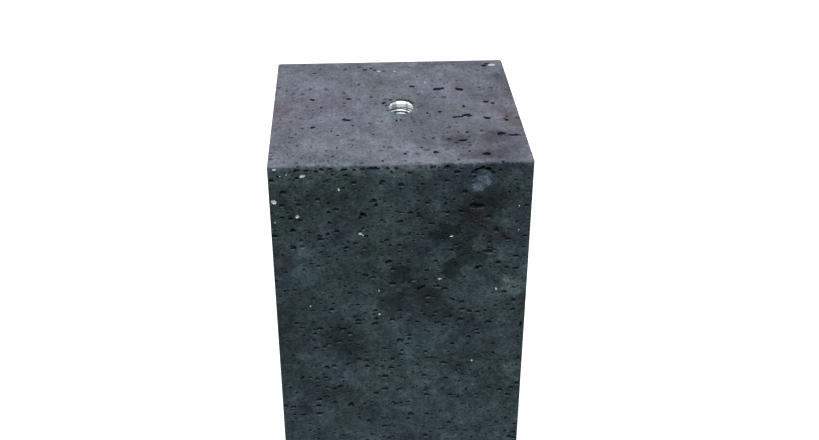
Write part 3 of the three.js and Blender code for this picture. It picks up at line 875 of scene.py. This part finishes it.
def scatteredPits(listed):
    random = randomRun(4127)
    pits = []
    for name, face in faces.items():
        width, height = face["size"]
        margin = block["pitMargin"]
        kept = [lump for lump in listed if lump["face"] is face]
        across, down = width / 2, height / 2
        for _ in range(block["pitsOnTop"] if name == "top" else block["pitsPerSide"]):
            size = block["smallestPit"] + (block["largestPit"] - block["smallestPit"]) * random() ** 3.2
            if random() < block["clusteredShare"]:
                # beside the last one, because bubbles rise in strings
                across = min(max(across + random(-7, 7), margin), width - margin)
                down = min(max(down + random(-5, 5), margin), height - margin)
            else:
                share = random() ** 0.6 if name == "top" else random()  # more of them toward the top's front
                across, down = random(margin, width - margin), margin + share * (height - 2 * margin)
            if name == "top":
                size *= block["topPitShare"]
            elif (name != "front" or down > block["seenDepth"]) and random() < block["largeVoidShare"]:
                size *= random(1.4, 2.4)
            long, short = size * random(1.0, 1.5), size * random(0.7, 1.1)
            wide, tall = (short, long) if name == "top" else (long, short)
            pit = makeVoid(face, across, down, wide, tall, size * random(0.5, 0.9), random(-30, 30),
                           anyKind(random))
            offSocket = (pit["centre"] - socketMiddle).length > socket["wallDiameter"] / 2 + 4
            if offSocket and apart(pit, kept):
                kept.append(pit)
                pits.append(pit)
    return pits


def arrisChips():
    random = randomRun(929)
    halfWide, halfDeep, high = block["width"] / 2, block["depth"] / 2, block["height"]
    corners = [(-halfWide, -halfDeep), (halfWide, -halfDeep), (halfWide, halfDeep), (-halfWide, halfDeep)]
    outs = [-back, right, back, -right]
    arrises = []
    for i, (cornerX, cornerY) in enumerate(corners):
        nextX, nextY = corners[(i + 1) % 4]
        arrises.append((Vector((cornerX, cornerY, 0)), Vector((cornerX, cornerY, high)),
                        outs[i - 1], outs[i]))
        for level, outward in ((high, up), (0, -up)):
            arrises.append((Vector((cornerX, cornerY, level)), Vector((nextX, nextY, level)),
                            outs[i], outward))
    chips = []
    for start, end, outA, outB in arrises:
        along = (end - start).normalized()
        diagonal = (outA + outB).normalized()
        edge = {"across": along, "upward": diagonal.cross(along), "out": diagonal}
        count = int((end - start).length / block["chipSpacing"])
        for i in range(count):
            reach = block["chipReach"] * (0.4 + 1.1 * random() ** 2)
            half = (min(reach * random(1.2, 2.6), block["chipSpacing"] * 0.38), reach * 1.4, reach * 1.4)
            place = start.lerp(end, (i + random(0.42, 0.58)) / count) + diagonal * reach * 0.5
            chips.append(makeLump(edge, place, half, 0, anyKind(random)))
    return chips


def grainBeds():
    random = randomRun(311)
    rows = list(paleGrains)
    for name in ("front", "right", "back", "left"):
        width, height = faces[name]["size"]
        for _ in range(block["grainsPerSide"]):
            across, down = random(3, width - 3), random(3, height - 3)
            if name != "front" or down > block["seenDepth"]:
                wide = 1 + 2 * random() ** 2
                rows.append((name, across, down, wide, wide * random(0.6, 0.9), random(-90, 90)))
    return [makeVoid(faces[name], across, down, wide, tall, block["grainDepth"], turn, anyKind(random))
            for name, across, down, wide, tall, turn in rows]


# The block: a box with its arrises rounded over, and the socket's room, voids, pits, chips and grains cut out

bpy.ops.mesh.primitive_cube_add(size=1, location=blockMiddle * mm,
                                scale=(block["width"] * mm, block["depth"] * mm, block["height"] * mm))
castBlock = bpy.context.object
castBlock.name = "cast_block"
bpy.ops.object.transform_apply(location=True, rotation=True, scale=True)
bpy.ops.object.mode_set(mode="EDIT")
bpy.ops.mesh.select_all(action="SELECT")
bpy.ops.mesh.subdivide(number_cuts=block["gridCuts"])
bpy.ops.mesh.select_mode(type="EDGE")
bpy.ops.mesh.select_all(action="DESELECT")
bpy.ops.mesh.edges_select_sharp(sharpness=math.radians(60))
bpy.ops.mesh.bevel(offset=block["arrisRadius"] * mm, segments=block["arrisSegments"], affect="EDGES")
bpy.ops.object.mode_set(mode="OBJECT")
for one in blockMaterials:
    castBlock.data.materials.append(one)

# the sleeve's room, with the edge of the cement film as its mouth
rim = block["height"] - socket["rimDepth"]
foot = rim - socket["length"]
gap = socket["castGap"]
wallRadius = socket["wallDiameter"] / 2 + gap
footRadius = socket["footDiameter"] / 2 + gap
filmFoot = block["height"] - socket["filmDepth"]
room = turned("room", [
    (footRadius, foot - gap),
    (footRadius, foot + socket["footThickness"] + gap),
    (wallRadius, foot + socket["footThickness"] + gap),
    (wallRadius, filmFoot),
    (socket["filmRadius"], filmFoot),
    (socket["filmRadius"] + 0.2, block["height"]),
    (socket["filmRadius"] + 0.8, block["height"] + 0.6),
], socket["sides"] * 2, socket["place"])
random = randomRun(59)
waves = [(turns, random(0.05, 0.2) / turns ** 0.5, random(0, 6.28)) for turns in (3, 5, 7, 11, 17, 23)]
for corner in room.data.vertices:
    if corner.co.z > (filmFoot - 0.01) * mm:
        x, y = corner.co.x / mm - socket["place"][0], corner.co.y / mm - socket["place"][1]
        radius, angle = math.hypot(x, y), math.atan2(y, x)
        if radius < wallRadius - 0.01:
            ragged = sum(size * math.sin(turns * angle + start) for turns, size, start in waves)
            share = (radius - socket["filmOval"] * math.cos(2 * angle) + ragged) / radius
            corner.co.x = (x * share + socket["place"][0]) * mm
            corner.co.y = (y * share + socket["place"][1]) * mm
for one in blockMaterials:
    room.data.materials.append(one)
# the room's walls take the darkened concrete: painted shadow in the gap round the sleeve
room.data.polygons.foreach_set("material_index", [deepShadowSlot] * len(room.data.polygons))
cutOut(castBlock, room)
print("block made")

dishes = [makeVoid(faces["front"], *row, kind) for kind, row in enumerate(shellHollow)]
# the hollow takes the lightened concrete: painted light on its floor, as lit from above
cutLumps(castBlock, dishes, shellLightSlot)
darkVoids = listedVoids(faces["front"], frontVoids) + listedVoids(faces["top"], topVoids)
# the listed voids and breaks take the darkened concrete: painted shadow inside them
cutLumps(castBlock, darkVoids, deepShadowSlot)
paleVoids = listedVoids(faces["front"], openVoids)
# these take the slightly darkened concrete: a little painted shade inside
cutLumps(castBlock, paleVoids, openShadeSlot)
cracks = deepCracks()
# the undercut and cracks take the darkened concrete too: painted shadow in them
cutLumps(castBlock, cracks, deepShadowSlot)
listed = dishes + darkVoids + paleVoids + cracks
print("listed voids cut:", len(listed))
pits = scatteredPits(listed)
openPits = [pit for i, pit in enumerate(pits) if i % (2 if pit["face"] is faces["top"] else 6) == 0]
cutLumps(castBlock, openPits, openShadeSlot)  # open enough to let light in
# the other pits take the darkened concrete: painted shadow inside them
cutLumps(castBlock, [pit for pit in pits if pit not in openPits], deepShadowSlot)
print("pits cut:", len(pits))
cutLumps(castBlock, arrisChips(), castSlot)
print("arrises chipped")
cutLumps(castBlock, grainBeds(), grainSlot)
print("grains laid in")

activate(castBlock)
bpy.ops.object.shade_smooth_by_angle(angle=math.radians(42))
for facet in castBlock.data.polygons:
    if facet.material_index == castSlot and max(abs(n) for n in facet.normal) > 0.9999:
        facet.use_smooth = False  # the long flat faces take no shading from the pits' rims
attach(castBlock, "root")
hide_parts("concrete_block")
print("block finished:", len(castBlock.data.polygons), "faces")


# The socket: a turned sleeve, drilled, opened at its mouth and tapped

wall = socket["wallDiameter"] / 2
threadedSocket = turned("tapped_sleeve", [
    (socket["footDiameter"] / 2, foot),
    (socket["footDiameter"] / 2, foot + socket["footThickness"]),
    (wall, foot + socket["footThickness"]),
    (wall, rim - socket["rimBevel"]),
    (wall - socket["rimBevel"], rim),
], socket["sides"], socket["place"])
crest = socket["thread"] / 2
core = crest - 0.625 * socket["pitch"] * math.sqrt(3) / 2  # a metric thread's depth
leadIn = socket["leadInDiameter"] / 2
firstTurn = rim - socket["leadInDepth"]
cutOut(threadedSocket, turned("drill", [
    (core - 0.1, foot + socket["closedEnd"]),
    (core - 0.1, firstTurn - 0.6),
    (leadIn, firstTurn),
    (leadIn, rim - socket["countersink"]),
    (leadIn + socket["countersink"] + 1, rim + 1),
], socket["sides"], socket["place"]))

# the tap: the section of every tooth, swept once round while it climbs one pitch
pitch = socket["pitch"]
flank = (crest - core) * math.tan(math.radians(30))
low = firstTurn - socket["threadLength"]
turns = int(socket["threadLength"] / pitch)
section = [(0, low), (core, low)]
for turn in range(turns):
    start = low + turn * pitch
    section += [(crest, start + flank), (crest, start + flank + pitch / 8),
                (core, start + 2 * flank + pitch / 8), (core, start + pitch)]
section.append((0, low + turns * pitch))
tapMesh = bpy.data.meshes.new("tap")
tapMesh.from_pydata([(radius * mm, 0, height * mm) for radius, height in section],
                    [(i, i + 1) for i in range(len(section) - 1)], [])
tap = bpy.data.objects.new("tap", tapMesh)
bpy.context.collection.objects.link(tap)
applyModifier(tap, "SCREW", angle=2 * math.pi, screw_offset=pitch * mm, steps=socket["sides"],
              render_steps=socket["sides"])
bpy.ops.object.mode_set(mode="EDIT")
bpy.ops.mesh.select_all(action="SELECT")
bpy.ops.mesh.remove_doubles(threshold=0.001 * mm)
bpy.ops.mesh.select_all(action="SELECT")
bpy.ops.mesh.fill_holes(sides=0)
bpy.ops.mesh.select_all(action="SELECT")
bpy.ops.mesh.normals_make_consistent(inside=False)
bpy.ops.object.mode_set(mode="OBJECT")
tap.location = (socket["place"][0] * mm, socket["place"][1] * mm, 0)
activate(tap)
bpy.ops.object.transform_apply(location=True)
cutOut(threadedSocket, tap)
activate(threadedSocket)
bpy.ops.object.shade_smooth_by_angle(angle=math.radians(30))
threadedSocket.data.materials.clear()
threadedSocket.data.materials.append(zincPlate)
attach(threadedSocket, "root")
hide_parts("threaded_socket")
print("socket finished:", len(threadedSocket.data.polygons), "faces")


# Studio: a pale floor in a room with light walls, and one large soft light overhead, a little in front

studio = {
    "floorSize": 600,
    "wallGlow": 1.0,
    "ceilingGlow": 0.42,
    "wallTop": 0.14,  # as a height on a globe of radius 1
    "overheadStrength": 4.2,
    "overheadWidth": 40,  # degrees across, seen from the block
    "overheadTilt": (19, -4),  # degrees to the front and to the left
}

bpy.ops.mesh.primitive_plane_add(size=studio["floorSize"])
floor = bpy.context.object
floor.name = "studio_floor"
floor.visible_diffuse = False  # the photograph's block gets no light back from the floor
floorPaint = newMaterial("matt_white_floor")
floorShader = addNode(floorPaint.node_tree, "ShaderNodeBsdfPrincipled",
                      {"Base Color": linear("#f4f5f5"), "Roughness": 0.9})
addNode(floorPaint.node_tree, "ShaderNodeOutputMaterial", {"Surface": floorShader.outputs[0]})
floor.data.materials.append(floorPaint)

world = bpy.data.worlds.new("studio_room")
world.use_nodes = True
room = world.node_tree
room.nodes.clear()
outward = addNode(room, "ShaderNodeTexCoord").outputs["Generated"]
level = addNode(room, "ShaderNodeSeparateXYZ", {0: outward}).outputs["Z"]
walls = addNode(room, "ShaderNodeMapRange",
                {"Value": level, "From Min": studio["wallTop"], "From Max": studio["wallTop"] + 0.05,
                 "To Min": studio["wallGlow"], "To Max": studio["ceilingGlow"]})
aboveFloor = addNode(room, "ShaderNodeMapRange", {"Value": level, "From Min": -0.06, "From Max": -0.03,
                                                  "To Min": 0.06})
glow = addNode(room, "ShaderNodeMath", {0: walls.outputs["Result"], 1: aboveFloor.outputs["Result"]},
               operation="MULTIPLY")
air = addNode(room, "ShaderNodeBackground", {"Color": linear("#f6f9fb"), "Strength": glow.outputs[0]})
addNode(room, "ShaderNodeOutputWorld", {"Surface": air.outputs[0]})
bpy.context.scene.world = world

overhead = bpy.data.lights.new("overhead_softbox", "SUN")
overhead.energy = studio["overheadStrength"]
overhead.angle = math.radians(studio["overheadWidth"])
lamp = bpy.data.objects.new("overhead_softbox", overhead)
lamp.location = (0, -0.6, 2)
lamp.rotation_euler = [math.radians(angle) for angle in (*studio["overheadTilt"], 0)]
bpy.context.collection.objects.link(lamp)

bpy.context.scene.view_settings.view_transform = "Standard"

# Camera: where the photograph was taken from, looking 30 degrees down
camera = bpy.data.cameras.new("photo_camera")
camera.sensor_width = 36
camera.lens = 49.43
eye = bpy.data.objects.new("photo_camera", camera)
eye.location = (-0.0280, -0.6324, 0.7872)
eye.rotation_euler = [math.radians(angle) for angle in (59.888, -0.141, -3.255)]
bpy.context.collection.objects.link(eye)
bpy.context.scene.camera = eye
print("studio lit")
